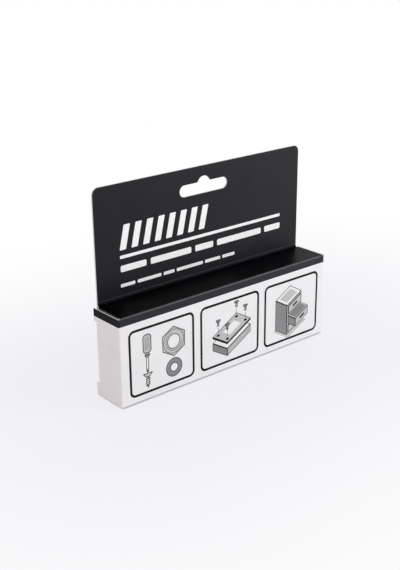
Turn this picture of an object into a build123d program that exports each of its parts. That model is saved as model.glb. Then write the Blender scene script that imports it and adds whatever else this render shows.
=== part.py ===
import os
from math import sqrt

from build123d import *

# A hanging carton folded from one sheet of boxboard, in millimetres.
# The width lies along X, the front faces -Y, Z is up, and it stands on its bottom panel.
carton_width = 160.0
carton_depth = 24.0
carton_height = 54.0
board = 0.5
fold_inner = 0.4  # inside radius of a creased fold

# Hang tab: the board's two ends, glued back to back above the back panel.
tab_height = 67.0
tab_corner = 4.0
tab_root = 1.2  # radius of the hollow fold between the top panel and the tab
side_relief = 2.5  # back panel and tab, in from each end of the carton

# Hang slot: a long round-ended slot with a dome for a single peg.
slot_width = 36.0
slot_height = 7.0
slot_below_top = 13.0
dome_radius = 5.0
dome_rise = 3.3
dome_blend = 0.8

# End flaps, hinged on the front panel's upright edges.
crease_play = 2.0  # degrees cut back on each side of the mitred crease
flap_trim = 0.3
flap_corner = 0.8

# Slit-lock tuck: flat shoulders stay in the end panel's plane, and the tongue folds in between them.
shoulder_height = 8.0
shoulder_setback = 0.4
tuck_setback = 1.6
tuck_inner = 0.8
tuck_depth = 12.0
tuck_trim = 1.0
tuck_corner = 7.0
slit = 0.4
swing_clearance = 0.45  # tongue's tip to the back panel, as the flap swings out

# Dust flaps, folded in from the top and bottom panels behind the end flaps.
dust_length = 18.0
dust_lock = 8.0  # straight stretch of the edge beside the tongue
dust_taper = 3.0
dust_corner = 2.0
dust_gap = 0.3
tongue_gap = 0.8

# Places that follow from the sizes above.
fold_outer = fold_inner + board
tuck_outer = tuck_inner + board
half_width = carton_width / 2
front = -carton_depth / 2
back = carton_depth / 2
tab_front = back - 2 * board
total_height = carton_height + tab_height
slot_level = total_height - slot_below_top
dust_face = half_width - board - dust_gap
panel_end = dust_face - fold_outer
rail_end = half_width - fold_outer
tuck_line = back - tuck_setback
tuck_start = tuck_line - 2 * tuck_outer
middle = Plane.XY.offset(carton_height / 2)

# The hinge line is on the outside of the rounded upright edge, where the mitre meets it.
edge_centre = (rail_end, front + fold_outer)
hinge_inset = fold_outer * (1 - sqrt(0.5))
hinge_x = half_width - hinge_inset
hinge_y = front + hinge_inset

# The tongue's tip rides inside a circle about the hinge that clears the back panel's inside edge.
edge_x = hinge_x - (half_width - side_relief)
edge_y = back - board - hinge_y
swing_radius = sqrt(edge_x**2 + edge_y**2) - swing_clearance
tip_x = half_width - tuck_depth
tip_y = hinge_y + sqrt(swing_radius**2 - (hinge_x - tip_x) ** 2)
tongue_root = Vector(half_width, tuck_line, carton_height / 2)
tongue_run = Vector(tip_x, tip_y, carton_height / 2) - tongue_root
tongue_plane = Plane(tongue_root, x_dir=tongue_run, z_dir=tongue_run.cross(Vector(0, 0, 1)))
tongue_length = tongue_run.length
wing_start = tuck_setback - shoulder_setback + slit


# One dust flap, at the right end of the top panel.
dust_front = front + fold_outer + slit
dust_back = tuck_line - tuck_outer - tongue_gap
with BuildPart() as dust_flap:
    with BuildSketch(Plane.XZ.offset(-dust_back)) as dust_fold:
        with BuildLine() as dust_bend:
            CenterArc((panel_end, carton_height - fold_outer), fold_outer, 90, -90)
            offset(amount=board, side=Side.RIGHT)
        make_face()
    extrude(amount=dust_back - dust_front)
    with BuildSketch(Plane.YZ.offset(dust_face)) as dust_outline:
        with BuildLine() as dust_edge:
            FilletPolyline(
                (dust_front, carton_height - fold_outer),
                (dust_front + dust_taper, carton_height - dust_length),
                (dust_back - 2 * dust_taper, carton_height - dust_length),
                (dust_back, carton_height - dust_lock - fold_outer),
                (dust_back, carton_height - fold_outer),
                radius=(0, dust_corner, dust_corner, dust_corner, 0),
                close=True,
            )
        make_face()
    extrude(amount=-board)


# The carton: front, bottom, back and top panels, the hang tab and the four dust flaps.
with BuildPart() as carton_body:
    with BuildSketch(Plane.YZ) as wrap:
        # From the tab's rear layer down the back, under the bottom and up the front to the top panel.
        with BuildLine() as outer_path:
            FilletPolyline(
                (back, total_height),
                (back, 0),
                (front, 0),
                (front, carton_height),
                (0, carton_height),
                radius=fold_outer,
            )
            offset(amount=board, side=Side.RIGHT)
        make_face()
        # From the top panel up into the tab's front layer, glued to the rear one.
        with BuildLine() as tab_path:
            FilletPolyline(
                (0, carton_height),
                (tab_front, carton_height),
                (tab_front, total_height),
                radius=tab_root,
            )
            offset(amount=board, side=Side.RIGHT)
        make_face()
    extrude(amount=panel_end, both=True)

    # The front panel and its two long folds run on to the upright edges.
    with BuildSketch(Plane.YZ) as front_rail:
        add(wrap.sketch_local)
        with Locations((front, carton_height / 2)):
            Rectangle(2 * fold_outer, carton_height, mode=Mode.INTERSECT)
    extrude(amount=rail_end, both=True)

    # Half of each rounded upright edge, up to its mitre.
    with BuildSketch(Plane.XY.offset(flap_trim)) as front_edge:
        with BuildLine() as front_bend:
            CenterArc(edge_centre, fold_outer, -90, 45 - crease_play)
            offset(amount=board, side=Side.LEFT)
        make_face()
        mirror(about=Plane.YZ)
    extrude(amount=carton_height - 2 * flap_trim)

    # The back panel and the tab stop short of the ends, and notch the top panel's rear corners.
    with BuildSketch(Plane.XZ.offset(-back)) as side_cut:
        with Locations((half_width - side_relief, fold_outer)):
            Rectangle(side_relief, total_height, align=Align.MIN)
        mirror(about=Plane.YZ)
    extrude(amount=2 * board + tab_root, mode=Mode.SUBTRACT)
    fillet(carton_body.edges().filter_by(Axis.Y).group_by(Axis.Z)[-1], tab_corner)

    # Hang slot.
    with BuildSketch(Plane.XZ.offset(-back)) as hang_slot:
        with Locations((0, slot_level)):
            SlotOverall(slot_width, slot_height)
        with Locations((0, slot_level + slot_height / 2 + dome_rise - dome_radius)):
            Circle(dome_radius)
        dome_foot = hang_slot.vertices().sort_by_distance((0, slot_level + slot_height / 2))[:2]
        fillet(dome_foot, dome_blend)
    extrude(amount=2 * board, mode=Mode.SUBTRACT)

    add(dust_flap.part)
    mirror(dust_flap.part, about=middle)
    mirror(dust_flap.part, about=Plane.YZ)
    mirror(mirror(dust_flap.part, about=middle, mode=Mode.PRIVATE), about=Plane.YZ)
carton_body.part.label = "carton_body"


# The right end flap: end panel, two shoulders and the tongue that tucks inside the back panel.
with BuildPart() as right_end_flap:
    with BuildSketch(Plane.XY.offset(flap_trim)) as end_panel:
        with BuildLine() as end_path:
            upright = CenterArc(edge_centre, fold_outer, -45 + crease_play, 45 - crease_play)
            Line(upright @ 1, (half_width, back - shoulder_setback))
            offset(amount=board, side=Side.LEFT)
        make_face()
    extrude(amount=carton_height - 2 * flap_trim)
    outer_corners = right_end_flap.edges().filter_by(Axis.X).group_by(Axis.Y)[-1]
    fillet(outer_corners, flap_corner)

    # Between the shoulders the end panel gives way to the tongue's fold.
    with BuildSketch(Plane.XY.offset(shoulder_height)) as tongue_window:
        with Locations((half_width, tuck_start)):
            Rectangle(4 * board, tuck_setback + 2 * tuck_outer, align=(Align.CENTER, Align.MIN))
    extrude(amount=carton_height - 2 * shoulder_height, mode=Mode.SUBTRACT)
    with BuildSketch(Plane.XY.offset(shoulder_height)) as tongue_fold:
        with BuildLine() as tongue_path:
            FilletPolyline(
                (half_width, tuck_start),
                (half_width, tuck_line),
                (tip_x, tip_y),
                radius=tuck_outer,
            )
            offset(amount=board, side=Side.LEFT)
        make_face()
    extrude(amount=carton_height - 2 * shoulder_height)

    # Past the slits the tongue widens to nearly the full height, with round corners at its tip.
    with BuildSketch(tongue_plane) as tongue_wings:
        with Locations((wing_start, 0)):
            Rectangle(tongue_length - wing_start, carton_height - 2 * tuck_trim, align=(Align.MIN, Align.CENTER))
        fillet(tongue_wings.vertices().group_by(Axis.X)[-1], tuck_corner)
    extrude(amount=-board)
right_end_flap.part.label = "right_end_flap"


with BuildPart() as left_end_flap:
    mirror(right_end_flap.part, about=Plane.YZ)
left_end_flap.part.label = "left_end_flap"


os.makedirs("parts", exist_ok=True)
for piece in (carton_body, left_end_flap, right_end_flap):
    export_step(piece.part, f"parts/{piece.part.label}.step")
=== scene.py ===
from math import copysign, radians

import bmesh
import bpy
from mathutils import Matrix, Vector


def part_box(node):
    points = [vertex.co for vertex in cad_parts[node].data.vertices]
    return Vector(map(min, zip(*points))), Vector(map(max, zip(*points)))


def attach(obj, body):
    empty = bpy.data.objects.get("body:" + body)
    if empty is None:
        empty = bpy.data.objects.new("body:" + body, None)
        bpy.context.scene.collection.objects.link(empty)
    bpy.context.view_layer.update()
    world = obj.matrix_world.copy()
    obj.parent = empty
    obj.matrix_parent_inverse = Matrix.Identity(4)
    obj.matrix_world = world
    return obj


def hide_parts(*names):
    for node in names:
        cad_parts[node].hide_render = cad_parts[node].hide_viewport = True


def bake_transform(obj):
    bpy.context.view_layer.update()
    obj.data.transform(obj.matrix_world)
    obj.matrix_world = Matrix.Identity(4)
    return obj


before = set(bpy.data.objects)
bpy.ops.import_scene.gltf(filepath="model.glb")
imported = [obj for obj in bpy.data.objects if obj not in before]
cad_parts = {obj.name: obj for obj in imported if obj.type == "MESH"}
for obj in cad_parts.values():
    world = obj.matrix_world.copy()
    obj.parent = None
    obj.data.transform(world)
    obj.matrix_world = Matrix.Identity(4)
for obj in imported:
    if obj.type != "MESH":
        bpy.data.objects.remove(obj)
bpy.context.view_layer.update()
print("frame loaded:", sorted(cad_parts))

mm = 0.001
scene = bpy.context.scene
scene.view_settings.view_transform = "Standard"

# Places on the carton, read from the solids where they show
bodyLow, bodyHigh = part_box("carton_body")
flapLow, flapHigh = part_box("left_end_flap")
carton = {
    "front": bodyLow.y,
    "back": bodyHigh.y,
    "halfWidth": -flapLow.x,
    "height": flapLow.z + flapHigh.z,  # the flaps are trimmed alike above and below
    "flapFoot": flapLow.z,
    "flapTop": flapHigh.z,
    "shoulder": flapHigh.y,
    "tongueTip": -flapHigh.x,
    "board": 0.5 * mm,
    "foldOuter": 0.9 * mm,
    "panelEnd": -flapLow.x - 1.7 * mm,  # the dust flaps' folds start here
    "railEnd": -flapLow.x - 0.9 * mm,  # and the upright edges' bends here
    "tabFace": bodyHigh.y - 1.0 * mm,  # two layers of board
    "tabRoot": 1.2 * mm,  # radius of the hollow fold under the tab
    "blackDepth": 5.0 * mm,  # the black field comes this far down from the top edge
    "dustBleed": 6.0 * mm,  # and this far down the dust flaps
}
blackFrom = carton["height"] - carton["blackDepth"]
weldWithin = 1e-7


def addNode(tree, kind, values=None, **settings):
    node = tree.nodes.new(kind)
    for label, value in settings.items():
        setattr(node, label, value)
    for label, value in (values or {}).items():
        node.inputs[label].default_value = value
    return node


def newGroup(name, values, outputs):
    tree = bpy.data.node_groups.new(name, "ShaderNodeTree")
    tree.interface.new_socket("Place", in_out="INPUT", socket_type="NodeSocketVector")
    for label, value in values.items():
        socket = tree.interface.new_socket(label, in_out="INPUT", socket_type="NodeSocketFloat")
        socket.default_value = value
    for label in outputs:
        tree.interface.new_socket(label, in_out="OUTPUT", socket_type="NodeSocketFloat")
    return tree, tree.nodes.new("NodeGroupInput"), tree.nodes.new("NodeGroupOutput")


def placeGroup(tree, group, place, values):
    node = addNode(tree, "ShaderNodeGroup", node_tree=group)
    tree.links.new(place, node.inputs["Place"])
    for label, value in values.items():
        node.inputs[label].default_value = value
    return node


def splitPlace(tree, place):
    node = addNode(tree, "ShaderNodeSeparateXYZ")
    tree.links.new(place, node.inputs[0])
    return node.outputs


def noiseNode(tree, place, scale, values):
    node = addNode(tree, "ShaderNodeTexNoise", values)
    tree.links.new(place, node.inputs["Vector"])
    tree.links.new(scale, node.inputs["Scale"])
    return node.outputs["Fac"]


def mathNode(tree, operation, first, second):
    node = addNode(tree, "ShaderNodeMath", operation=operation)
    for socket, value in zip(node.inputs, (first, second)):
        if isinstance(value, (int, float)):
            socket.default_value = value
        else:
            tree.links.new(value, socket)
    return node.outputs[0]


def rampNode(tree, value, low, high, fromLow=0.0, fromHigh=1.0):
    spread = {"From Min": fromLow, "From Max": fromHigh, "To Min": low, "To Max": high}
    node = addNode(tree, "ShaderNodeMapRange", spread, interpolation_type="SMOOTHSTEP")
    tree.links.new(value, node.inputs["Value"])
    return node.outputs["Result"]


def bumpNode(tree, height, strength, depth):
    node = addNode(tree, "ShaderNodeBump", {"Strength": strength, "Distance": depth})
    tree.links.new(height, node.inputs["Height"])
    return node


mixSockets = {"RGBA": (6, 7, 2), "FLOAT": (2, 3, 0)}  # A, B and Result of a Mix node


def mixNode(tree, share, first, second, kind="RGBA"):
    node = addNode(tree, "ShaderNodeMix", data_type=kind)
    tree.links.new(share, node.inputs["Factor"])
    a, b, result = mixSockets[kind]
    for socket, value in ((node.inputs[a], first), (node.inputs[b], second)):
        if isinstance(value, tuple):
            socket.default_value = (*value, 1.0)
        else:
            tree.links.new(value, socket)
    return node.outputs[result]


# Paper making: fibres that lie along the sheet's grain, and the cloudy formation under them
boardGrain = {
    "fibres": 1500.0, "fibre": {"Detail": 4.0, "Roughness": 0.6, "Distortion": 0.4},
    "clouds": 110.0, "cloud": {"Detail": 3.0, "Roughness": 0.55},
    "squeeze": (0.3, 1.0, 1.0),  # makes the fibres longer along the width
}


def makeGrainGroup():
    values = {"Fibres": boardGrain["fibres"], "Clouds": boardGrain["clouds"]}
    tree, start, end = newGroup("boardGrain", values, ["Fibre", "Mottle"])
    along = addNode(tree, "ShaderNodeVectorMath", operation="MULTIPLY")
    along.inputs[1].default_value = boardGrain["squeeze"]
    tree.links.new(start.outputs["Place"], along.inputs[0])
    fibre = noiseNode(tree, along.outputs["Vector"], start.outputs["Fibres"], boardGrain["fibre"])
    cloud = noiseNode(tree, start.outputs["Place"], start.outputs["Clouds"], boardGrain["cloud"])
    tree.links.new(fibre, end.inputs["Fibre"])
    tree.links.new(cloud, end.inputs["Mottle"])
    return tree


# Wear along the creases, where the coating cracks: strongest on the fold and broken up along it. Nearness
# to the folds also carries painted light: a painted highlight on black, painted shade on white.
creaseWearAndLight = {
    "reach": 1.2 * mm, "cracks": 900.0, "crack": {"Detail": 5.0, "Roughness": 0.7}, "broken": (0.52, 0.72),
    "uprightEase": 0.85 * mm, "rootHighlightEase": 0.66 * mm,  # less crack wear and painted fold light on the upright edges, and a weaker painted highlight strip above the tab's root
    # the painted highlight strip runs along the tab's face this far above the carton's top
    "rootHighlightRise": 2.0 * mm,
}


def makeWearGroup():
    values = {"Reach": creaseWearAndLight["reach"], "Cracks": creaseWearAndLight["cracks"]}
    tree, start, end = newGroup("creaseWearAndLight", values, ["Wear", "Nearness"])
    parts = splitPlace(tree, start.outputs["Place"])
    side = mathNode(tree, "ABSOLUTE", parts["X"], 0.0)
    # Each fold is a line through two set coordinates, along the one that is left out
    folds = [
        ((None, carton["front"], carton["height"]), 0.0),
        ((None, carton["front"], 0.0), 0.0),
        ((None, carton["back"], 0.0), 0.0),
        ((carton["halfWidth"], carton["front"], None), creaseWearAndLight["uprightEase"]),
        ((carton["panelEnd"] + carton["foldOuter"], None, carton["height"]), 0.0),
        # not a fold: the line of the painted highlight strip on the tab, just above its root
        ((None, carton["tabFace"], carton["height"] + creaseWearAndLight["rootHighlightRise"]), creaseWearAndLight["rootHighlightEase"]),
    ]
    nearest = None
    for fold, ease in folds:
        flat = addNode(tree, "ShaderNodeCombineXYZ")
        for label, value, source in zip("XYZ", fold, (side, parts["Y"], parts["Z"])):
            if value is not None:
                tree.links.new(source, flat.inputs[label])
        away = addNode(tree, "ShaderNodeVectorMath", operation="DISTANCE")
        away.inputs[1].default_value = [value or 0.0 for value in fold]
        tree.links.new(flat.outputs[0], away.inputs[0])
        distance = mathNode(tree, "ADD", away.outputs["Value"], ease)
        nearest = distance if nearest is None else mathNode(tree, "MINIMUM", nearest, distance)
    share = mathNode(tree, "DIVIDE", nearest, start.outputs["Reach"])
    near = rampNode(tree, share, 1.0, 0.0)
    crack = noiseNode(tree, start.outputs["Place"], start.outputs["Cracks"], creaseWearAndLight["crack"])
    broken = rampNode(tree, crack, 0.0, 1.0, *creaseWearAndLight["broken"])
    tree.links.new(mathNode(tree, "MULTIPLY", near, broken), end.inputs["Wear"])
    tree.links.new(near, end.inputs["Nearness"])
    return tree


# Handling: fine rubs that run across the sheet in two directions
handlingRubs = {
    "fineness": 240.0, "line": {"Detail": 4.0, "Roughness": 0.65}, "shown": (0.56, 0.8),
    "ways": ((0.5, 0.06), (-0.9, 0.1)),  # turn in radians, and how far the line is drawn out
    "roll": 0.3,  # share of the turn that goes about Z
}


def makeRubGroup():
    tree, start, end = newGroup("handlingRubs", {"Fineness": handlingRubs["fineness"]}, ["Rub"])
    rubs = []
    for turn, squeeze in handlingRubs["ways"]:
        lie = {"Rotation": (0.0, turn, handlingRubs["roll"] * turn), "Scale": (squeeze, 1.0, 1.0)}
        laid = addNode(tree, "ShaderNodeMapping", lie)
        tree.links.new(start.outputs["Place"], laid.inputs["Vector"])
        line = noiseNode(tree, laid.outputs["Vector"], start.outputs["Fineness"], handlingRubs["line"])
        rubs.append(rampNode(tree, line, 0.0, 1.0, *handlingRubs["shown"]))
    tree.links.new(mathNode(tree, "MAXIMUM", *rubs), end.inputs["Rub"])
    return tree


grainGroup = makeGrainGroup()
wearAndLightGroup = makeWearGroup()
rubGroup = makeRubGroup()

# What every finish takes from the sheet under it
sheetSkin = {
    "grainSpread": (0.3, 0.7), "reliefDepth": 0.02 * mm, "swellDepth": 0.5 * mm, "crackDull": 0.25,
    # the first band: heights over which the painted shade along the foot fades out
    "footShadeBand": (0.15 * mm, 1.0 * mm), "seamBand": (0.02 * mm, 0.07 * mm), "seamRise": 1.0 * mm,
}


def stain(tree, tint, mask, share, colour):
    return mixNode(tree, mathNode(tree, "MULTIPLY", mask, share), tint, colour)


# One finish of the board. Every finish is the same sheet, so all share its grain.
def makeFinish(name, look):
    made = bpy.data.materials.new(name)
    made.use_nodes = True
    tree = made.node_tree
    skin = tree.nodes["Principled BSDF"]
    skin.inputs["IOR"].default_value = look["ior"]
    skin.inputs["Specular Tint"].default_value = (*look.get("sheen", (1.0, 1.0, 1.0)), 1.0)
    place = addNode(tree, "ShaderNodeTexCoord").outputs["Object"]
    grain = placeGroup(tree, grainGroup, place, {"Fibres": look["fibres"], "Clouds": look["clouds"]})

    mottle = rampNode(tree, grain.outputs["Mottle"], 0.0, 1.0, *sheetSkin["grainSpread"])
    tint = mixNode(tree, mottle, look["dark"], look["light"])
    gloss = rampNode(tree, grain.outputs["Fibre"], *look["gloss"], *sheetSkin["grainSpread"])
    if "rub" in look:
        rubbed = placeGroup(tree, rubGroup, place, {"Fineness": look["rubs"]}).outputs["Rub"]
        tint = stain(tree, tint, rubbed, look["rubShare"], look["rub"])
        gloss = mathNode(tree, "ADD", gloss, mathNode(tree, "MULTIPLY", rubbed, look["rubDull"]))
    if "footShade" in look:  # painted shade along the foot, where it stands on the floor
        level = splitPlace(tree, place)["Z"]
        low = rampNode(tree, level, look["footShadeShare"], 0.0, *sheetSkin["footShadeBand"])
        tint = mixNode(tree, low, tint, look["footShade"])
    if "seam" in look:  # between the tab's two layers
        parts = splitPlace(tree, place)
        past = mathNode(tree, "SUBTRACT", parts["Y"], carton["back"] - carton["board"])
        line = rampNode(tree, mathNode(tree, "ABSOLUTE", past, 0.0), 1.0, 0.0, *sheetSkin["seamBand"])
        seamFrom = carton["height"]
        above = rampNode(tree, parts["Z"], 0.0, 1.0, seamFrom, seamFrom + sheetSkin["seamRise"])
        tint = stain(tree, tint, line, above, look["seam"])
    if "crack" in look:
        wornAndLit = placeGroup(tree, wearAndLightGroup, place, {"Reach": look["reach"], "Cracks": look["cracks"]})
        # painted light near the folds: a painted highlight on the black finishes, painted shade on the
        # white one; the cracks below are wear
        tint = stain(tree, tint, wornAndLit.outputs["Nearness"], look["foldLightShare"], look["fold"])
        tint = stain(tree, tint, wornAndLit.outputs["Wear"], look["crackShare"], look["crack"])
        dull = mathNode(tree, "MULTIPLY", wornAndLit.outputs["Wear"], sheetSkin["crackDull"])
        gloss = mathNode(tree, "ADD", gloss, dull)
    tree.links.new(tint, skin.inputs["Base Color"])
    tree.links.new(gloss, skin.inputs["Roughness"])

    relief = bumpNode(tree, grain.outputs["Fibre"], look["relief"], sheetSkin["reliefDepth"])
    swell = bumpNode(tree, grain.outputs["Mottle"], look["swell"], sheetSkin["swellDepth"])
    tree.links.new(relief.outputs["Normal"], swell.inputs["Normal"])
    tree.links.new(swell.outputs["Normal"], skin.inputs["Normal"])
    return made


blackLook = {
    "dark": (0.0046, 0.0043, 0.0066), "light": (0.0068, 0.0064, 0.0094),
    "ior": 1.27, "sheen": (0.95, 0.93, 1.0), "gloss": (0.34, 0.41),
    "fibres": 1500.0, "clouds": 60.0, "relief": 0.12, "swell": 0.01,
    "rub": (0.03, 0.03, 0.033), "rubs": 240.0, "rubShare": 0.06, "rubDull": 0.03,
    # fold: painted highlight along the folds
    "fold": (0.15, 0.149, 0.153), "foldLightShare": 0.7,
    "crack": (0.34, 0.33, 0.33), "crackShare": 0.3, "reach": 1.2 * mm, "cracks": 900.0,
}
# The lid: a darker copy of the black board with weaker reflection, painted shade for the little light it
# gets
lidShadedLook = dict(
    blackLook, dark=(0.001, 0.0009, 0.0018), light=(0.0017, 0.0015, 0.0027), ior=1.13, gloss=(0.36, 0.44),
)
# the end flaps' black field: a copy with weaker reflection, painted shade
endShadedLook = dict(blackLook, ior=1.12)
bandLitLook = dict(blackLook, ior=1.36)  # the front panel's black strip: a copy with stronger reflection, a painted highlight
whiteLook = {
    "dark": (0.835, 0.835, 0.846), "light": (0.865, 0.865, 0.877), "ior": 1.45, "gloss": (0.4, 0.5),
    "fibres": 1500.0, "clouds": 60.0, "relief": 0.25, "swell": 0.02,
    "rub": (0.77, 0.765, 0.76), "rubs": 200.0, "rubShare": 0.25, "rubDull": 0.08,
    # fold: painted shade along the folds
    "fold": (0.78, 0.775, 0.77), "foldLightShare": 0.4,
    "footShade": (0.24, 0.235, 0.23), "footShadeShare": 0.8,  # painted shade along the foot, where it stands on the floor
    "crack": (0.7, 0.69, 0.67), "crackShare": 0.35, "reach": 1.2 * mm, "cracks": 900.0,
}
cutLook = {
    "dark": (0.84, 0.836, 0.828), "light": (0.94, 0.937, 0.93), "ior": 1.4, "gloss": (0.8, 0.95),
    "fibres": 4200.0, "clouds": 700.0, "relief": 0.8, "swell": 0.1,
    "seam": (0.4, 0.37, 0.33),  # the glue line
}
insideLook = {
    "dark": (0.7, 0.675, 0.63), "light": (0.78, 0.76, 0.72), "ior": 1.4, "gloss": (0.75, 0.9),
    "fibres": 1100.0, "clouds": 240.0, "relief": 0.6, "swell": 0.04,
    "rub": (0.6, 0.57, 0.52), "rubs": 420.0, "rubShare": 0.3, "rubDull": 0.0,
}
sheetFinishes = [
    makeFinish("whiteCoatedBoard", whiteLook),
    makeFinish("blackCoatedBoard", blackLook),
    makeFinish("cutBoardEdge", cutLook),
    makeFinish("plainBoardInside", insideLook),
    makeFinish("blackLidBoardShaded", lidShadedLook),
    makeFinish("blackEndBoardShaded", endShadedLook),
    makeFinish("blackBandBoardLit", bandLitLook),
]
white, black, cut, inside, lidShadedBlack, endShadedBlack, bandLitBlack = range(len(sheetFinishes))


# Inks lie on the coated board, so they keep its grain and sheen, without its wear, its painted fold light
# and its painted shade along the foot
def makeInk(name, dark, light, ior=1.4):
    look = dict(whiteLook, dark=dark, light=light, ior=ior, gloss=(0.36, 0.46))
    for label in ("rub", "crack", "footShade"):
        look.pop(label)
    return makeFinish(name, look)


inkFinishes = [
    makeInk("blackInk", (0.0035, 0.0035, 0.004), (0.006, 0.006, 0.0065), 1.2),
    makeInk("greyInk", (0.2, 0.2, 0.205), (0.26, 0.26, 0.265)),
    makeInk("paleInk", (0.5, 0.5, 0.505), (0.57, 0.57, 0.575)),
    # white print, partly painted light: lifted brighter than the board to stand for the stronger light on
    # the tab
    makeInk("paperWhiteLit", (0.95, 0.95, 0.95), (0.97, 0.97, 0.97)),
    makeInk("bareBoard", whiteLook["dark"], whiteLook["light"]),
]
blackInk, greyInk, paleInk, paperWhiteLit, bareBoard = range(len(inkFinishes))
print("finishes made:", len(sheetFinishes) + len(inkFinishes))

sharpFrom = radians(25)  # edges that turn more than this stay sharp


# Puts a finished mesh into the scene
def finishPiece(bm, name, finishes, body=None):
    for face in bm.faces:
        face.smooth = True
    for edge in bm.edges:
        edge.smooth = len(edge.link_faces) == 2 and edge.calc_face_angle(0.0) < sharpFrom
    mesh = bpy.data.meshes.new(name)
    bm.to_mesh(mesh)
    bm.free()
    for finish in finishes:
        mesh.materials.append(finish)
    piece = bpy.data.objects.new(name, mesh)
    scene.collection.objects.link(piece)
    if body:
        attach(piece, body)
    print("piece made:", name, len(mesh.polygons), "faces")
    return piece


# Where the body's finish changes. The first three say how squarely a face looks one way.
bodyFaces = {
    "square": 0.9, "mainly": 0.7, "partly": 0.5,
    "slack": 0.01 * mm,
    "frontFold": 1.2 * mm,  # the dust flaps lie behind it
    "tabFoot": 0.05 * mm,  # the tab starts this far under the end of its root
    "rootDepth": 2.3 * mm, "rootFall": 1.0 * mm,  # reach of the hollow fold under the tab
    "rearLayer": 0.7 * mm, "rearSkin": 0.1 * mm, "underTilt": 0.05,
}


def dustFlapSide(centre, normal):
    middle = carton["height"] / 2
    level = centre.z - middle
    outward = normal.x * copysign(1.0, centre.x)
    inFold = abs(level) > middle - carton["foldOuter"]
    if abs(normal.y) > bodyFaces["partly"] or not inFold and abs(outward) < bodyFaces["partly"]:
        return cut
    if inFold:
        outward += normal.z * copysign(1.0, level)
    if outward < 0:
        return inside
    return black if centre.z > carton["height"] - carton["dustBleed"] else white


def tabRootSide(centre, normal, shade):
    if normal.y > bodyFaces["square"]:
        return shade if centre.y > carton["back"] - bodyFaces["rearSkin"] else cut
    if normal.z < -bodyFaces["underTilt"] or centre.y > carton["back"] - bodyFaces["rearLayer"]:
        return inside
    return lidShadedBlack


def bodySide(centre, normal):
    top = carton["height"]
    pastPanel = abs(centre.x) > carton["panelEnd"] + bodyFaces["slack"]
    if pastPanel and centre.y > carton["front"] + bodyFaces["frontFold"]:
        return dustFlapSide(centre, normal)
    if abs(normal.x) > bodyFaces["square"]:
        return cut
    shade = black if centre.z > blackFrom else white
    # the lid's faces take the darker copy, painted shade
    if normal.z > bodyFaces["mainly"] and centre.z > blackFrom:
        shade = lidShadedBlack
    # the front's black strip takes the copy with stronger reflection, a painted highlight
    elif normal.y < -bodyFaces["mainly"] and blackFrom < centre.z < top:
        shade = bandLitBlack
    if centre.z > top + carton["tabRoot"] - bodyFaces["tabFoot"]:
        return shade if abs(normal.y) > bodyFaces["square"] else cut
    if centre.y > carton["back"] - bodyFaces["rootDepth"] and centre.z > top - bodyFaces["rootFall"]:
        return tabRootSide(centre, normal, shade)
    facing = centre.y * normal.y + (centre.z - top / 2) * normal.z
    return shade if facing > 0 else inside


# Where a flap's finish changes: at its cut edges, the tongue's fold and the black field
flapFaces = {
    "tilt": 0.3, "steep": 0.8,
    "shoulderSkin": 0.1 * mm, "tipSkin": 0.2 * mm,
    "tongueFrom": 1.2 * mm, "panelDepth": 1.0 * mm,
}


def flapSide(centre, normal):
    reach = abs(centre.x)
    outward = normal.x * copysign(1.0, centre.x)
    onTongue = reach < carton["halfWidth"] - flapFaces["tongueFrom"]
    edges = (
        abs(normal.z) > flapFaces["tilt"],
        centre.y > carton["shoulder"] - flapFaces["shoulderSkin"],
        reach < carton["tongueTip"] + flapFaces["tipSkin"],
        onTongue and outward > flapFaces["steep"],
    )
    if any(edges):
        return cut
    if outward + normal.y < 0:
        return inside
    onPanel = reach > carton["halfWidth"] - flapFaces["panelDepth"]
    # the end panel's black field takes the copy with weaker reflection, painted shade
    return endShadedBlack if centre.z > blackFrom and onPanel else white


def wholeMesh(bm):
    return bm.verts[:] + bm.edges[:] + bm.faces[:]


def paintSheet(bm, sideOf):
    bmesh.ops.bisect_plane(
        bm, geom=wholeMesh(bm), dist=weldWithin, plane_co=(0, 0, blackFrom), plane_no=(0, 0, 1),
    )
    for face in bm.faces:
        face.material_index = sideOf(face.calc_center_median(), face.normal)


# The solids' own form, less the half bends of the upright edges: one strip makes each whole bend
def foldedSheet(node, name, body, isBend, sideOf):
    bm = bmesh.new()
    bm.from_mesh(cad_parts[node].data)
    bmesh.ops.remove_doubles(bm, verts=bm.verts, dist=weldWithin)
    bends = [face for face in bm.faces if isBend(face.calc_center_median())]
    bmesh.ops.delete(bm, geom=bends, context="FACES")
    bmesh.ops.holes_fill(bm, edges=[edge for edge in bm.edges if edge.is_boundary], sides=0)
    bm.normal_update()
    paintSheet(bm, sideOf)
    piece = finishPiece(bm, name, sheetFinishes, body)
    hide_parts(node)


def bodyBend(centre):
    inFold = centre.y < carton["front"] + carton["foldOuter"]
    return inFold and abs(centre.x) > carton["railEnd"] + bodyFaces["slack"]


def flapBend(centre):
    return centre.y < carton["front"] + carton["foldOuter"] - bodyFaces["slack"]


foldedSheet("carton_body", "cartonBoard", "carton", bodyBend, bodySide)
foldedSheet("left_end_flap", "leftEndBoard", "left_end", flapBend, flapSide)
foldedSheet("right_end_flap", "rightEndBoard", "right_end", flapBend, flapSide)


# Upright creases, about which the end flaps swing: each strip is the whole bend as the carton stands closed
crease = {"steps": 14, "hold": 0.28}  # hold: share of the bend at each side that stays with its panel


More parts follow.
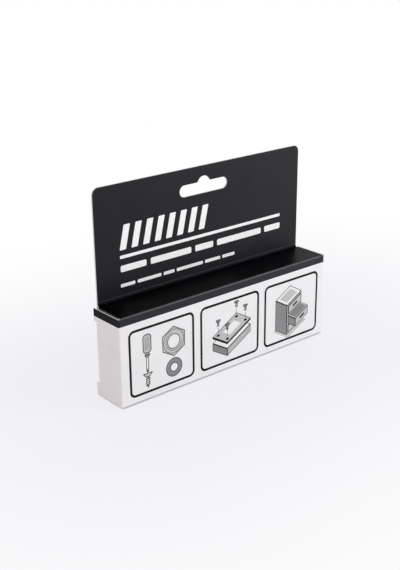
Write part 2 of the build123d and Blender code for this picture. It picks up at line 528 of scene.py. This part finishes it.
def creaseStrip(name, end):
    bm = bmesh.new()
    board, outer = carton["board"], carton["foldOuter"]
    axis = Vector((end * carton["railEnd"], carton["front"] + outer, 0.0))
    height = carton["flapTop"] - carton["flapFoot"]
    middle = Vector((axis.x, carton["front"] + board / 2, (carton["flapTop"] + carton["flapFoot"]) / 2))
    stand = Matrix.Translation(middle) @ Matrix.Rotation(radians(90), 4, "Y")
    lay = stand @ Matrix.Diagonal((height, board, 1.0, 1.0))
    bmesh.ops.create_grid(bm, x_segments=1, y_segments=1, size=0.5, matrix=lay)
    bmesh.ops.spin(
        bm, geom=wholeMesh(bm), cent=axis, axis=(0, 0, 1), angle=end * radians(90), steps=crease["steps"],
        use_merge=False, use_duplicate=False,
    )
    bmesh.ops.remove_doubles(bm, verts=bm.verts, dist=weldWithin)
    bmesh.ops.recalc_face_normals(bm, faces=bm.faces)

    def stripSide(centre, normal):
        away = Vector((centre.x - axis.x, centre.y - axis.y, 0.0))
        partly = bodyFaces["partly"]
        if abs(normal.z) > partly or abs(normal.dot(away.normalized())) < partly:
            return cut
        if normal.dot(away) < 0:
            return inside
        return black if centre.z > blackFrom else white

    paintSheet(bm, stripSide)
    piece = finishPiece(bm, name, sheetFinishes)
    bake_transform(piece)


creaseStrip("leftCrease", -1)
creaseStrip("rightCrease", 1)


# Every printed shape is a thin film of ink let into the board's face, and is laid out in plain mm
film = {
    "proud": 0.03 * mm, "layer": 0.02 * mm, "depth": 0.05 * mm,  # layer: rise of one shape over another
    "barSegments": 4, "plateSegments": 6, "arcSteps": 20, "dashShare": 0.55,
}


def startPrint(left, foot, face):
    return {"bm": bmesh.new(), "left": left, "foot": foot, "face": face}


def spot(sheet, u, v, layer=0):
    proud = film["proud"] + layer * film["layer"]
    return Vector((sheet["left"] + u * mm, sheet["face"] - proud, sheet["foot"] + v * mm))


def around(centre, corners):
    return [(centre[0] + u, centre[1] + v) for u, v in corners]


def plate(u0, v0, u1, v1):
    return [(u0, v0), (u1, v0), (u1, v1), (u0, v1)]


def inkShape(sheet, corners, ink, layer=0):
    face = sheet["bm"].faces.new([sheet["bm"].verts.new(spot(sheet, u, v, layer)) for u, v in corners])
    face.normal_update()
    face.material_index = ink
    return face


def roundCorners(sheet, face, radius, segments):
    made = bmesh.ops.bevel(
        sheet["bm"], geom=face.verts[:], offset=radius * mm, offset_type="OFFSET", affect="VERTICES",
        segments=segments, profile=0.5, material=-1, clamp_overlap=True,
    )
    return made["verts"][0].link_faces[0]


def inkBar(sheet, corners, radius, ink, layer=0):
    face = inkShape(sheet, corners, ink, layer)
    roundCorners(sheet, face, radius, film["barSegments"]).material_index = ink


# A black pen line round a shape, with the shape filled or left open
def penOutline(sheet, face, pen, fill=None):
    rim = bmesh.ops.inset_region(
        sheet["bm"], faces=[face], thickness=pen * mm, use_boundary=True, use_even_offset=True,
    )
    for part in rim["faces"]:
        part.material_index = blackInk
    if fill is None:
        bmesh.ops.delete(sheet["bm"], geom=[face], context="FACES_ONLY")
    else:
        face.material_index = fill


def drawnShape(sheet, corners, pen, fill=None, layer=0):
    penOutline(sheet, inkShape(sheet, corners, blackInk, layer), pen, fill)


def drawnPlate(sheet, corners, radius, pen, fill=None, layer=0):
    face = inkShape(sheet, corners, blackInk, layer)
    penOutline(sheet, roundCorners(sheet, face, radius, film["plateSegments"]), pen, fill)


# A disc, or the oval that it makes between two slanting directions
def drawnDisc(sheet, centre, radius, segments, layer, across=(1.0, 0.0), up=(0.0, 1.0)):
    shape = Matrix.Identity(4)
    shape.col[0] = (across[0], 0.0, across[1], 0.0)
    shape.col[1] = (up[0], 0.0, up[1], 0.0)
    shape.col[2] = (0.0, -1.0, 0.0, 0.0)
    laid = Matrix.Translation(spot(sheet, *centre, layer)) @ shape
    made = bmesh.ops.create_circle(
        sheet["bm"], cap_ends=True, segments=segments, radius=radius * mm, matrix=laid,
    )
    face = made["verts"][0].link_faces[0]
    face.material_index = blackInk
    return face


def penLine(sheet, first, last, pen, ink, layer):
    a, b = Vector(first), Vector(last)
    run = b - a
    across = Vector((-run.y, run.x)).normalized() * pen / 2
    inkShape(sheet, [a - across, b - across, b + across, a + across], ink, layer)


def dashedLine(sheet, first, last, dash, pen, ink, layer):
    a, b = Vector(first), Vector(last)
    count = max(1, int((b - a).length / (2 * dash)))
    for index in range(count):
        ends = (index / count, (index + film["dashShare"]) / count)
        penLine(sheet, *(a.lerp(b, share) for share in ends), pen, ink, layer)


def penArc(sheet, centre, radius, start, sweep, pen, ink, layer):
    bm = sheet["bm"]
    middle = spot(sheet, *centre, layer)
    turn = Matrix.Rotation(radians(-start), 3, "Y")
    rims = (radius - pen / 2, radius + pen / 2)
    ends = [bm.verts.new(middle + turn @ Vector((rim * mm, 0, 0))) for rim in rims]
    edge = bm.edges.new(ends)
    before = set(bm.faces)
    bmesh.ops.spin(
        bm, geom=[*ends, edge], cent=middle, axis=(0, 1, 0), angle=radians(-sweep), steps=film["arcSteps"],
        use_merge=False, use_duplicate=False,
    )
    for face in set(bm.faces) - before:
        face.material_index = ink


# Blocks in the drawings are seen from above one corner, at the origin, scale and pen of the look
iso = {"right": (0.866, 0.5), "left": (-0.866, 0.5), "dotSegments": 24}


def isoSpot(look, x, y, z):
    u, v = look["origin"]
    u += look["scale"] * (x * iso["right"][0] + y * iso["left"][0])
    v += look["scale"] * (x * iso["right"][1] + y * iso["left"][1] + z)
    return u, v


def isoBlock(sheet, look, low, size, fills, layer=0):
    x0, y0, z0 = low
    x1, y1, z1 = (a + b for a, b in zip(low, size))
    sides = (
        [(x0, y0, z1), (x1, y0, z1), (x1, y1, z1), (x0, y1, z1)],
        [(x0, y1, z0), (x0, y0, z0), (x0, y0, z1), (x0, y1, z1)],
        [(x0, y0, z0), (x1, y0, z0), (x1, y0, z1), (x0, y0, z1)],
    )
    for side, fill in zip(sides, fills):
        drawnShape(sheet, [isoSpot(look, *corner) for corner in side], look["pen"], fill, layer)


def isoDot(sheet, look, place, radius, layer):
    centre, radius = isoSpot(look, *place), radius * look["scale"]
    drawnDisc(sheet, centre, radius, iso["dotSegments"], layer, iso["right"], iso["left"])


def isoPatch(sheet, look, low, high, z, ink, layer):
    inkShape(sheet, [isoSpot(look, x, y, z) for x, y in plate(*low, *high)], ink, layer)


def isoLine(sheet, look, first, last, pen, ink, layer):
    penLine(sheet, isoSpot(look, *first), isoSpot(look, *last), pen, ink, layer)


def finishPrint(sheet, name):
    bm = sheet["bm"]
    bm.normal_update()
    bmesh.ops.reverse_faces(bm, faces=[face for face in bm.faces if face.normal.y > 0])
    bmesh.ops.solidify(bm, geom=bm.faces[:], thickness=film["depth"])
    bmesh.ops.recalc_face_normals(bm, faces=bm.faces)
    finishPiece(bm, name, inkFinishes, "carton")


# White print on the hang tab, u from the carton's left end and v from its top
tabPrint = {
    "rule": (18.9, 23.8, 142.3, 25.65),
    "stripes": {
        "from": 18.8, "to": 83.4, "foot": 28.8, "head": 43.2,
        "count": 8, "width": 4.3, "lean": 3.4, "round": 0.5,
    },
    "bigRow": {
        "foot": 15.9, "head": 19.7, "start": 19.0, "gap": 3.0, "round": 0.9,
        "lengths": (18.0, 30.0, 14.0, 36.0, 13.4),
    },
    "smallRow": {
        "foot": 6.9, "head": 8.9, "start": 18.7, "gap": 1.7, "round": 0.5,
        "lengths": (10.0, 17.0, 8.0, 20.0, 12.0, 10.0),
    },
}


def printRow(sheet, row, ink):
    place = row["start"]
    for length in row["lengths"]:
        inkBar(sheet, plate(place, row["foot"], place + length, row["head"]), row["round"], ink)
        place += length + row["gap"]


def makeTabPrint():
    sheet = startPrint(-carton["halfWidth"], carton["height"], carton["tabFace"])
    inkShape(sheet, plate(*tabPrint["rule"]), paperWhiteLit)
    stripes = tabPrint["stripes"]
    wide, lean, low, high = (stripes[label] for label in ("width", "lean", "foot", "head"))
    pitch = (stripes["to"] - stripes["from"] - wide - lean) / (stripes["count"] - 1)
    for index in range(stripes["count"]):
        foot = stripes["from"] + index * pitch
        head = foot + lean
        corners = [(foot, low), (foot + wide, low), (head + wide, high), (head, high)]
        inkBar(sheet, corners, stripes["round"], paperWhiteLit)
    printRow(sheet, tabPrint["bigRow"], paperWhiteLit)
    printRow(sheet, tabPrint["smallRow"], paperWhiteLit)
    finishPrint(sheet, "tabPrint")


# Three framed drawings in a row on the front panel
frames = {"left": 5.95, "width": 46.5, "gap": 4.56, "foot": 4.1, "head": 44.85, "round": 3.8, "line": 1.48}


def framedSheet(index):
    left = -carton["halfWidth"] + (frames["left"] + index * (frames["width"] + frames["gap"])) * mm
    sheet = startPrint(left, frames["foot"] * mm, carton["front"])
    tall = frames["head"] - frames["foot"]
    drawnPlate(sheet, plate(0, 0, frames["width"], tall), frames["round"], frames["line"])
    return sheet


# First: a driver over a screw, with a nut and a washer beside them.
# The driver and the screw stand on one line, and their sizes run out from it.
toolDrawing = {
    "centre": 12.6,
    "handle": {"half": 3.0, "foot": 24.6, "head": 36.2, "round": 2.2, "pen": 0.55},
    "grooves": {"shifts": (-1.2, 0.0, 1.2), "half": 0.22, "foot": 26.4, "head": 34.2, "round": 0.15},
    "collar": {"half": 1.8, "foot": 22.6, "head": 24.3, "pen": 0.45},
    "blade": {"half": 0.95, "foot": 14.4, "head": 22.3, "pen": 0.42},
    "tip": ((-0.5, 12.8), (0.5, 12.8), (0.85, 14.2), (-0.85, 14.2)),
    "screwHead": ((-1.5, 9.9), (1.5, 9.9), (3.6, 12.5), (-3.6, 12.5)), "headPen": 0.5,
    "shank": {"half": 1.15, "foot": 4.9, "head": 9.7, "pen": 0.38},
    "point": ((0.0, 3.2), (1.0, 4.7), (-1.0, 4.7)),
    "threads": {"levels": (5.3, 6.5, 7.7, 8.9), "half": 1.6, "left": -0.25, "right": 0.35, "pen": 0.5},
    "nutCentre": (31.4, 26.4), "washerCentre": (31.4, 10.2),
    "nut": {"radius": 9.4, "segments": 6, "pen": 0.5},  # six sides
    "nutRim": {"radius": 7.4, "segments": 48, "pen": 0.3},
    "nutBore": {"radius": 4.6, "segments": 40, "pen": 0.45},
    "nutThread": {"radius": 5.6, "start": 100.0, "sweep": 250.0, "pen": 0.3},
    "washer": {"radius": 5.9, "segments": 48, "pen": 0.45},
    "washerHole": {"radius": 2.9, "segments": 40, "pen": 0.45},
}


def makeToolDrawing():
    sheet, look = framedSheet(0), toolDrawing
    centre = look["centre"]

    def upright(part, at=centre):
        return plate(at - part["half"], part["foot"], at + part["half"], part["head"])

    def ring(part, at, fill, layer):
        penOutline(sheet, drawnDisc(sheet, at, part["radius"], part["segments"], layer), part["pen"], fill)

    drawnPlate(sheet, upright(look["handle"]), look["handle"]["round"], look["handle"]["pen"], paleInk)
    for shift in look["grooves"]["shifts"]:
        inkBar(sheet, upright(look["grooves"], centre + shift), look["grooves"]["round"], greyInk, 1)
    drawnShape(sheet, upright(look["collar"]), look["collar"]["pen"], greyInk)
    drawnShape(sheet, upright(look["blade"]), look["blade"]["pen"])
    inkShape(sheet, around((centre, 0.0), look["tip"]), blackInk)

    drawnShape(sheet, around((centre, 0.0), look["screwHead"]), look["headPen"], paleInk)
    drawnShape(sheet, upright(look["shank"]), look["shank"]["pen"])
    inkShape(sheet, around((centre, 0.0), look["point"]), blackInk)
    threads = look["threads"]
    for level in threads["levels"]:
        first = (centre - threads["half"], level + threads["left"])
        last = (centre + threads["half"], level + threads["right"])
        penLine(sheet, first, last, threads["pen"], blackInk, 1)

    nut, washer, thread = look["nutCentre"], look["washerCentre"], look["nutThread"]
    ring(look["nut"], nut, paleInk, 0)
    ring(look["nutRim"], nut, None, 1)
    ring(look["nutBore"], nut, bareBoard, 1)
    penArc(sheet, nut, thread["radius"], thread["start"], thread["sweep"], thread["pen"], blackInk, 1)
    ring(look["washer"], washer, greyInk, 0)
    ring(look["washerHole"], washer, bareBoard, 1)
    finishPrint(sheet, "toolDrawing")


# Second: a plate lowered onto a block, with a screw over each of its four holes
plateDrawing = {
    "origin": (20.9, 4.4), "scale": 0.7, "pen": 0.38,
    "size": (31.0, 19.0), "block": 7.0, "lift": 4.0, "plate": 1.6,
    "courses": (1.8, 3.5, 5.2), "courseIn": 1.0, "coursePen": 0.2,
    "holeIn": 3.6, "hole": 1.5, "patchIn": (4.5, 1.5),  # the bare patch lies inside the holes by this much
    "dashFrom": 2.2, "dashTo": 8.0, "dash": 0.6, "dashPen": 0.4, "screwLift": 8.4,
}
drawnScrewLook = {
    "shank": (-0.7, 0.0, 0.7, 2.6), "shankPen": 0.3,
    "threads": (0.6, 1.3, 2.0), "threadHalf": 0.95, "threadLean": 0.15, "threadPen": 0.34,
    "head": (-1.8, 2.7, 1.8, 4.3), "headRound": 0.6, "headPen": 0.38,
}


def drawnScrew(sheet, foot, layer):
    look = drawnScrewLook
    half, lean = look["threadHalf"], look["threadLean"]
    drawnShape(sheet, around(foot, plate(*look["shank"])), look["shankPen"], bareBoard, layer)
    for level in look["threads"]:
        ends = around(foot, ((-half, level - lean), (half, level + lean)))
        penLine(sheet, *ends, look["threadPen"], blackInk, layer + 1)
    head = around(foot, plate(*look["head"]))
    drawnPlate(sheet, head, look["headRound"], look["headPen"], greyInk, layer)


def makePlateDrawing():
    sheet, look = framedSheet(1), plateDrawing
    wide, deep = look["size"]
    isoBlock(sheet, look, (0, 0, 0), (wide, deep, look["block"]), (bareBoard, greyInk, paleInk))
    for level in look["courses"]:
        first, last = (look["courseIn"], 0, level), (wide - look["courseIn"], 0, level)
        isoLine(sheet, look, first, last, look["coursePen"], greyInk, 1)
    under = look["block"] + look["lift"]
    isoBlock(sheet, look, (0, 0, under), (wide, deep, look["plate"]), (paleInk, blackInk, greyInk), 1)
    face = under + look["plate"]
    inset = look["holeIn"]
    low = [inset + more for more in look["patchIn"]]
    high = [size - inset - more for size, more in zip(look["size"], look["patchIn"])]
    isoPatch(sheet, look, low, high, face, bareBoard, 2)
    holes = ((wide - inset, deep - inset), (inset, deep - inset), (wide - inset, inset), (inset, inset))
    for x, y in holes:  # the farthest first
        isoDot(sheet, look, (x, y, face), look["hole"], 2)
        first = isoSpot(look, x, y, face + look["dashFrom"])
        last = isoSpot(look, x, y, face + look["dashTo"])
        dashedLine(sheet, first, last, look["dash"], look["dashPen"], blackInk, 2)
        drawnScrew(sheet, isoSpot(look, x, y, face + look["screwLift"]), 2)
    finishPrint(sheet, "plateDrawing")


# Third: a parts cabinet of three drawers, with the middle one drawn out
cabinetDrawing = {
    "origin": (19.6, 3.6), "scale": 0.72, "pen": 0.38,
    "ground": ((-2.4, -4.8), (22.4, 16.0)),
    "cabinet": (20.0, 16.0, 27.6), "patch": ((3.0, 3.0), (17.0, 13.0)),
    "drawer": (17.6, 0.9, 7.6), "margin": 1.2, "pitch": 8.8, "out": 10.0, "wall": 1.1,
    "grip": (5.6, 0.9, 1.2), "gripLevel": 3.6, "gripPen": 0.2,
}


def makeCabinetDrawing():
    sheet, look = framedSheet(2), cabinetDrawing
    cabinet, drawer, grip = (look[label] for label in ("cabinet", "drawer", "grip"))
    margin, wall = look["margin"], look["wall"]
    fine = dict(look, pen=look["gripPen"])
    isoPatch(sheet, look, *look["ground"], 0.0, paleInk, 0)
    isoBlock(sheet, look, (0, 0, 0), cabinet, (bareBoard, greyInk, bareBoard), 1)
    isoPatch(sheet, look, *look["patch"], cabinet[2], paleInk, 2)
    # The drawn-out drawer comes last and lies over the others
    drawers = ((0, 0.0, blackInk, 2), (2, 0.0, blackInk, 2), (1, look["out"], greyInk, 4))
    for index, out, side, layer in drawers:
        foot = margin + index * look["pitch"]
        front = -drawer[1] - out
        size = (drawer[0], drawer[1] + out, drawer[2])
        isoBlock(sheet, look, (margin, front, foot), size, (bareBoard, side, paleInk), layer)
        if out:  # the hollow inside its walls
            high = (margin + drawer[0] - wall, 0.0)
            isoPatch(sheet, look, (margin + wall, front + wall), high, foot + drawer[2], greyInk, layer + 1)
        low = (margin + (drawer[0] - grip[0]) / 2, front - grip[1], foot + look["gripLevel"])
        isoBlock(sheet, fine, low, grip, (greyInk, blackInk, blackInk), layer + 1)
    finishPrint(sheet, "cabinetDrawing")


makeTabPrint()
makeToolDrawing()
makePlateDrawing()
makeCabinetDrawing()


# Floor, light and camera
studio = {
    "floorRadius": 5.0, "floorSegments": 96, "floorDrop": 0.03 * mm,
    "floorColour": (0.86, 0.86, 0.89), "floorRough": 0.7, "nearTone": (0.97, 0.963, 0.998),
    "footIn": 1.6 * mm, "footOut": 0.2 * mm, "contact": (0.0, 0.9 * mm), "nearGlow": 0.68, "fadeTo": 0.27,
    "surround": 0.86, "ceiling": 0.74, "shine": 0.1, "ceilingBand": (0.3, 0.75),
    "warmSide": (0.85, 0.777, 0.738), "warmBand": (-0.85, -0.15), "plain": (1.0, 1.0, 1.0),
    "aim": (0, 0, 0.05),
    "key": {"place": (0.78, -0.78, 0.14), "size": 0.6, "power": 5.5, "colour": (0.965, 0.985, 1.0)},
    "fill": {"place": (-1.2, -0.3, 0.75), "size": 0.9, "power": 1.05, "colour": (1.0, 0.82, 0.72)},
}


def backgroundRays(tree):
    rays = addNode(tree, "ShaderNodeLightPath")
    seen = mathNode(tree, "MAXIMUM", rays.outputs["Is Camera Ray"], rays.outputs["Is Glossy Ray"])
    return mathNode(tree, "MAXIMUM", seen, rays.outputs["Is Transmission Ray"])


# Distance from the carton's footprint, whatever the height
def footprintDistance(tree):
    away = addNode(tree, "ShaderNodeTexCoord").outputs["Object"]
    foot = (carton["halfWidth"] - studio["footIn"], carton["back"] + studio["footOut"], 1.0)
    steps = (("ABSOLUTE", None), ("SUBTRACT", foot), ("MAXIMUM", (0.0, 0.0, 0.0)), ("LENGTH", None))
    for operation, value in steps:
        step = addNode(tree, "ShaderNodeVectorMath", operation=operation)
        if value:
            step.inputs[1].default_value = value
        tree.links.new(away, step.inputs[0])
        away = step.outputs["Value" if operation == "LENGTH" else "Vector"]
    return away


def makeFloor():
    bm = bmesh.new()
    sunk = Matrix.Translation((0, 0, -studio["floorDrop"]))
    bmesh.ops.create_circle(
        bm, cap_ends=True, segments=studio["floorSegments"], radius=studio["floorRadius"], matrix=sunk,
    )
    mesh = bpy.data.meshes.new("floor")
    bm.to_mesh(mesh)
    bm.free()
    made = bpy.data.materials.new("paleFloor")
    made.use_nodes = True
    tree = made.node_tree
    skin, out = tree.nodes["Principled BSDF"], tree.nodes["Material Output"]
    skin.inputs["Base Color"].default_value = (*studio["floorColour"], 1.0)
    skin.inputs["Roughness"].default_value = studio["floorRough"]
    # The shadow is whole at the carton, and the floor is white far from it
    away = footprintDistance(tree)
    fadeBand = (studio["contact"][1], studio["fadeTo"])
    near = rampNode(tree, away, 0.0, studio["nearGlow"], *studio["contact"])
    far = rampNode(tree, away, 0.0, 1.0 - studio["nearGlow"], *fadeBand)
    fade = mathNode(tree, "ADD", near, far)
    glow = addNode(tree, "ShaderNodeEmission", {"Strength": 1.0})
    tone = rampNode(tree, away, 0.0, 1.0, *fadeBand)
    tree.links.new(mixNode(tree, tone, studio["nearTone"], studio["plain"]), glow.inputs["Color"])
    mixed = addNode(tree, "ShaderNodeMixShader")
    tree.links.new(mathNode(tree, "MULTIPLY", fade, backgroundRays(tree)), mixed.inputs["Fac"])
    tree.links.new(skin.outputs["BSDF"], mixed.inputs[1])
    tree.links.new(glow.outputs["Emission"], mixed.inputs[2])
    tree.links.new(mixed.outputs[0], out.inputs["Surface"])
    mesh.materials.append(made)
    floor = bpy.data.objects.new("floor", mesh)
    scene.collection.objects.link(floor)


def makeWorld():
    world = bpy.data.worlds.new("studio")
    scene.world = world
    world.use_nodes = True
    tree = world.node_tree
    sky = tree.nodes["Background"]
    aim = splitPlace(tree, addNode(tree, "ShaderNodeTexCoord").outputs["Generated"])
    level = rampNode(tree, aim["Z"], studio["surround"], studio["ceiling"], *studio["ceilingBand"])
    bright = rampNode(tree, aim["Z"], 1.0, studio["shine"], *studio["ceilingBand"])
    # A warm wall on the left lights the carton, and isn't seen
    seen = backgroundRays(tree)
    side = rampNode(tree, aim["X"], 1.0, 0.0, *studio["warmBand"])
    warm = mixNode(tree, side, studio["plain"], studio["warmSide"])
    tree.links.new(mixNode(tree, seen, warm, studio["plain"]), sky.inputs["Color"])
    tree.links.new(mixNode(tree, seen, level, bright, "FLOAT"), sky.inputs["Strength"])


def makeLight(name, look):
    lamp = bpy.data.lights.new(name, "AREA")
    lamp.energy = look["power"]
    lamp.size = look["size"]
    lamp.color = look["colour"]
    light = bpy.data.objects.new(name, lamp)
    light.location = look["place"]
    light.rotation_euler = (Vector(studio["aim"]) - light.location).to_track_quat("-Z", "Y").to_euler()
    scene.collection.objects.link(light)


cameraLook = {
    "place": (-0.34808, -0.40204, 0.25495), "turn": (68.94, 0.559, -40.04),
    "lens": 60.54, "sensor": 36.0, "clip": (0.01, 30.0),
}


def makeCamera():
    lens = bpy.data.cameras.new("camera")
    lens.lens = cameraLook["lens"]
    lens.sensor_width = cameraLook["sensor"]
    lens.clip_start, lens.clip_end = cameraLook["clip"]
    camera = bpy.data.objects.new("camera", lens)
    camera.location = cameraLook["place"]
    camera.rotation_euler = [radians(turn) for turn in cameraLook["turn"]]
    scene.collection.objects.link(camera)
    scene.camera = camera


makeFloor()
makeWorld()
makeLight("keyLight", studio["key"])
makeLight("fillLight", studio["fill"])
makeCamera()
print("studio ready")
